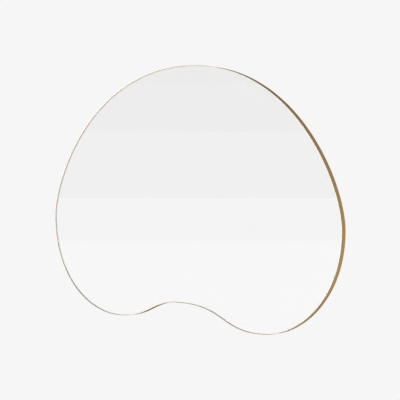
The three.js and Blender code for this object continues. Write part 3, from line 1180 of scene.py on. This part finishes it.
class MIRROR_OT_d_rings(bpy.types.Operator):
    """Build the two D-rings that swing in the straps"""

    bl_idname = "mirror.d_rings"
    bl_label = "D-rings"

    def execute(self, context):
        settings = context.scene.mirror_hardware
        tree = sweep_tree("Wire sweep", ["Wire Radius"], wire_section)
        for side, pivot in pivots.items():
            low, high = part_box(f"d_ring_{side}")
            wire = high.z - pivot.z
            half = (high.x - low.x) / 2 - wire
            loop = ring_outline(settings, half, low.z + wire - pivot.z)
            ring = closed_path(f"wire_ring_{side}", loop)
            run_tree(ring, tree, {"Wire Radius": wire, "Circle Radius": circle_radius(loop),
                                  "Place": pivot, "Material": zinc_steel(settings)})
            belong(make_plain(ring), f"{side}_ring", [f"d_ring_{side}"])
        return {"FINISHED"}


def bumper_template():
    """A rubber bumper with a flange, a tapered boss and a dimpled face, its base at y = 0."""
    node = "wall_bumper_1"
    low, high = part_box(node)
    flange = (high.x - low.x) / 2
    height = high.y - board_rear
    away, depth = from_axis(node), corners(node)[:, 1]
    on_face = depth > high.y - SAME_PLANE
    face = float(away[on_face].max())
    tip = float(away[(depth > board_rear + height / 2) & ~on_face].max())
    foot = float(depth[away > flange - 0.05 * MM].max()) - board_rear
    lip, shoulder, throat, round_tip = 0.3 * MM, 0.4 * MM, 0.6 * MM, tip - face
    profile = [
        (0, 0), (flange - lip, 0),
        *arc(flange - lip, lip, lip, -60, 0, 3),
        *arc(flange - shoulder, foot - shoulder, shoulder, 0, 90),
        *arc(tip + 1.1 * MM, foot + throat, throat, 270, 190),
        *arc(face, height - round_tip, round_tip, 5, 90, 6),
        (0.5 * face, height), (0.44 * face, height - 0.12 * MM),
        (0.38 * face, height - 0.35 * MM), (0, height - 0.4 * MM)]
    return smooth_up_to(lathe("bumper", profile, 40), 50)


class MIRROR_OT_bumpers(bpy.types.Operator):
    """Build the rubber bumpers that stand on the wall"""

    bl_idname = "mirror.bumpers"
    bl_label = "Wall bumpers"

    def execute(self, context):
        bumpers = named("wall_bumper_")
        places = [(middle(name).x, board_rear, middle(name).z) for name in bumpers]
        look = soft_rubber(context.scene.mirror_hardware)
        piece = scatter("rubber_bumpers", bumper_template(), places, look)
        belong(piece, "mirror", bumpers)
        return {"FINISHED"}


# ---- Stage ----

# The edges of the softbox on the left, which the metal's edges catch: an axis, and how far along
# it a direction has to lean for the light to start and to be full.
SOFTBOX = [((-1.0, 0.0, 0.0), 0.66, 0.80), ((0.0, 0.0, 1.0), -0.45, 0.05)]

# The brightness of the room behind the mirror, how it grows along X, Y and Z, and how far a
# direction has to lean towards the wall to see only that room.
BEHIND = 0.31
BEHIND_SLOPE = (0.24, 0.0, -0.12)
BEHIND_LEAN = 0.3

# What a mirror shows of the studio: the brightness from each height in degrees upwards, before
# the share that the glass and the silver lose.
STUDIO_STEPS = [
    (-90.0, 0.922), (-1.7, 0.913), (-1.53, 0.896), (0.0, 0.925), (0.036, 0.885),
    (0.076, 0.872), (0.115, 0.863), (2.6, 0.839), (4.4, 0.827)]
MIRROR_GAIN = 0.957

# The two lamps and the directions in which they shine.
SUNS = {"front lamp": (0.45, 0.70, -0.62), "rear lamp": (-0.35, -0.75, -0.55)}
FLOOR_SIDES = 96
SENSOR_WIDTH = 36


def mix(tree, factor, first, second):
    """A number between two numbers."""
    return put(tree, "ShaderNodeMix", {0: factor, 2: first, 3: second}, data_type="FLOAT")


def surroundings(settings):
    """The studio around the mirror, as the camera, metal and glass see it and as it lights."""
    world = bpy.data.worlds.new("Pale studio")
    world.use_nodes = True
    tree = world.node_tree
    tree.nodes.clear()
    way = put(tree, "ShaderNodeTexCoord", output="Generated")
    _, towards_wall, up = separate(tree, way)
    brightness = STUDIO_STEPS[0][1] / MIRROR_GAIN
    for height, level in STUDIO_STEPS[1:]:
        above = maths(tree, "GREATER_THAN", up, math.sin(math.radians(height)))
        brightness = mix(tree, above, brightness, level / MIRROR_GAIN)
    slope = vector_maths(tree, "DOT_PRODUCT", way, BEHIND_SLOPE, output="Value")
    is_behind = remap(tree, towards_wall, start=0.0, end=BEHIND_LEAN, kind="SMOOTHSTEP")
    room = mix(tree, is_behind, brightness, maths(tree, "ADD", slope, BEHIND))
    lamp = settings.softbox_strength
    for axis, start, end in SOFTBOX:
        lean = vector_maths(tree, "DOT_PRODUCT", way, axis, output="Value")
        side = remap(tree, lean, start=start, end=end, kind="SMOOTHSTEP")
        lamp = maths(tree, "MULTIPLY", side, lamp)
    path = put(tree, "ShaderNodeLightPath").node.outputs
    mirrored = maths(tree, "MAXIMUM", path["Is Glossy Ray"], path["Is Transmission Ray"])
    lit = mix(tree, mirrored, settings.ambient, maths(tree, "ADD", room, lamp))
    seen = mix(tree, path["Is Camera Ray"], lit, settings.background)
    background = put(tree, "ShaderNodeBackground", {"Color": combine(tree, seen, seen, seen)})
    put(tree, "ShaderNodeOutputWorld", {"Surface": background})
    return world


def aim(thing, direction):
    """Adds a lamp or a camera to the scene, turned to look in a direction."""
    thing.rotation_mode = "QUATERNION"
    thing.rotation_quaternion = direction.to_track_quat("-Z", "Y")
    bpy.context.scene.collection.objects.link(thing)


def pale_floor(settings):
    """The floor's matte paint, which fades into the background far from the mirror."""
    made = bpy.data.materials.new("Pale floor")
    made.use_nodes = True
    tree = made.node_tree
    tree.nodes.clear()
    place = object_place(tree)
    x, y, _ = separate(tree, place)
    away = vector_maths(tree, "LENGTH", combine(tree, x, y), output="Value")
    fade = remap(tree, away, start=settings.floor_fade, end=settings.floor_radius,
                 kind="SMOOTHSTEP")
    paint = put(tree, "ShaderNodeBsdfPrincipled", {
        "Base Color": shades(tree, mottle(tree, place, 3.0), settings.floor, 0.998, 1.002),
        "Roughness": 1.0, "Specular IOR Level": 0.0})
    glow = put(tree, "ShaderNodeEmission", {"Color": (*[settings.background] * 3, 1)})
    surface = put(tree, "ShaderNodeMixShader", {0: fade, 1: paint, 2: glow})
    put(tree, "ShaderNodeOutputMaterial", {"Surface": surface})
    return made


def add_sun(name, direction, settings):
    """A soft lamp far away, which metal and glass don't mirror."""
    data = bpy.data.lights.new(name, "SUN")
    data.energy = settings.sun_strength
    data.angle = settings.sun_width
    lamp = bpy.data.objects.new(name, data)
    aim(lamp, Vector(direction))
    lamp.visible_glossy = False
    lamp.visible_transmission = False


class MIRROR_OT_studio(bpy.types.Operator):
    """Build the floor, the lamps, the surroundings and the camera"""

    bl_idname = "mirror.studio"
    bl_label = "Studio"

    def execute(self, context):
        settings = context.scene.mirror_studio
        scene = context.scene
        scene.world = surroundings(settings)
        scene.view_settings.view_transform = "Standard"
        level = pivots["left"].z - settings.floor_drop
        rim = [(x, y, level) for x, y in circle(settings.floor_radius, FLOOR_SIDES)]
        floor = new_piece("floor", rim, [tuple(range(FLOOR_SIDES))])
        floor.data.materials.append(pale_floor(settings))
        floor.visible_glossy = False
        for name, direction in SUNS.items():
            add_sun(name, direction, settings)

        camera = bpy.data.objects.new("camera", bpy.data.cameras.new("camera"))
        camera.data.lens = settings.lens
        camera.data.sensor_width = SENSOR_WIDTH
        back = Vector((math.sin(settings.azimuth), -math.cos(settings.azimuth), 0))
        camera.location = Vector(settings.target) + back * settings.distance
        aim(camera, -back)
        scene.camera = camera
        return {"FINISHED"}


OPERATORS = [
    MIRROR_OT_brass_band, MIRROR_OT_glass, MIRROR_OT_backing,
    MIRROR_OT_frame_tabs, MIRROR_OT_screws, MIRROR_OT_hanger_straps, MIRROR_OT_d_rings,
    MIRROR_OT_bumpers, MIRROR_OT_studio]


class MIRROR_PT_pieces(bpy.types.Panel):
    """Lists the pieces of the mirror and their settings"""

    bl_idname = "MIRROR_PT_pieces"
    bl_label = "Free-form mirror"
    bl_space_type = "VIEW_3D"
    bl_region_type = "UI"
    bl_category = "Mirror"

    def draw(self, context):
        for operator in OPERATORS:
            self.layout.operator(operator.bl_idname)
        for group, kind in SETTINGS.items():
            box = self.layout.box()
            for name in kind.__annotations__:
                box.prop(getattr(context.scene, group), name)


def register():
    """Registers the settings, the operators and the panel."""
    for group, kind in SETTINGS.items():
        bpy.utils.register_class(kind)
        setattr(bpy.types.Scene, group, PointerProperty(type=kind))
    for kind in [*OPERATORS, MIRROR_PT_pieces]:
        bpy.utils.register_class(kind)


def unregister():
    """Takes back what register did."""
    for kind in [MIRROR_PT_pieces, *reversed(OPERATORS)]:
        bpy.utils.unregister_class(kind)
    for group, kind in reversed(SETTINGS.items()):
        delattr(bpy.types.Scene, group)
        bpy.utils.unregister_class(kind)


def main():
    """Builds every piece and the stage."""
    register()
    for operator in OPERATORS:
        group, name = operator.bl_idname.split(".")
        getattr(getattr(bpy.ops, group), name)()


if __name__ == "__main__":
    main()
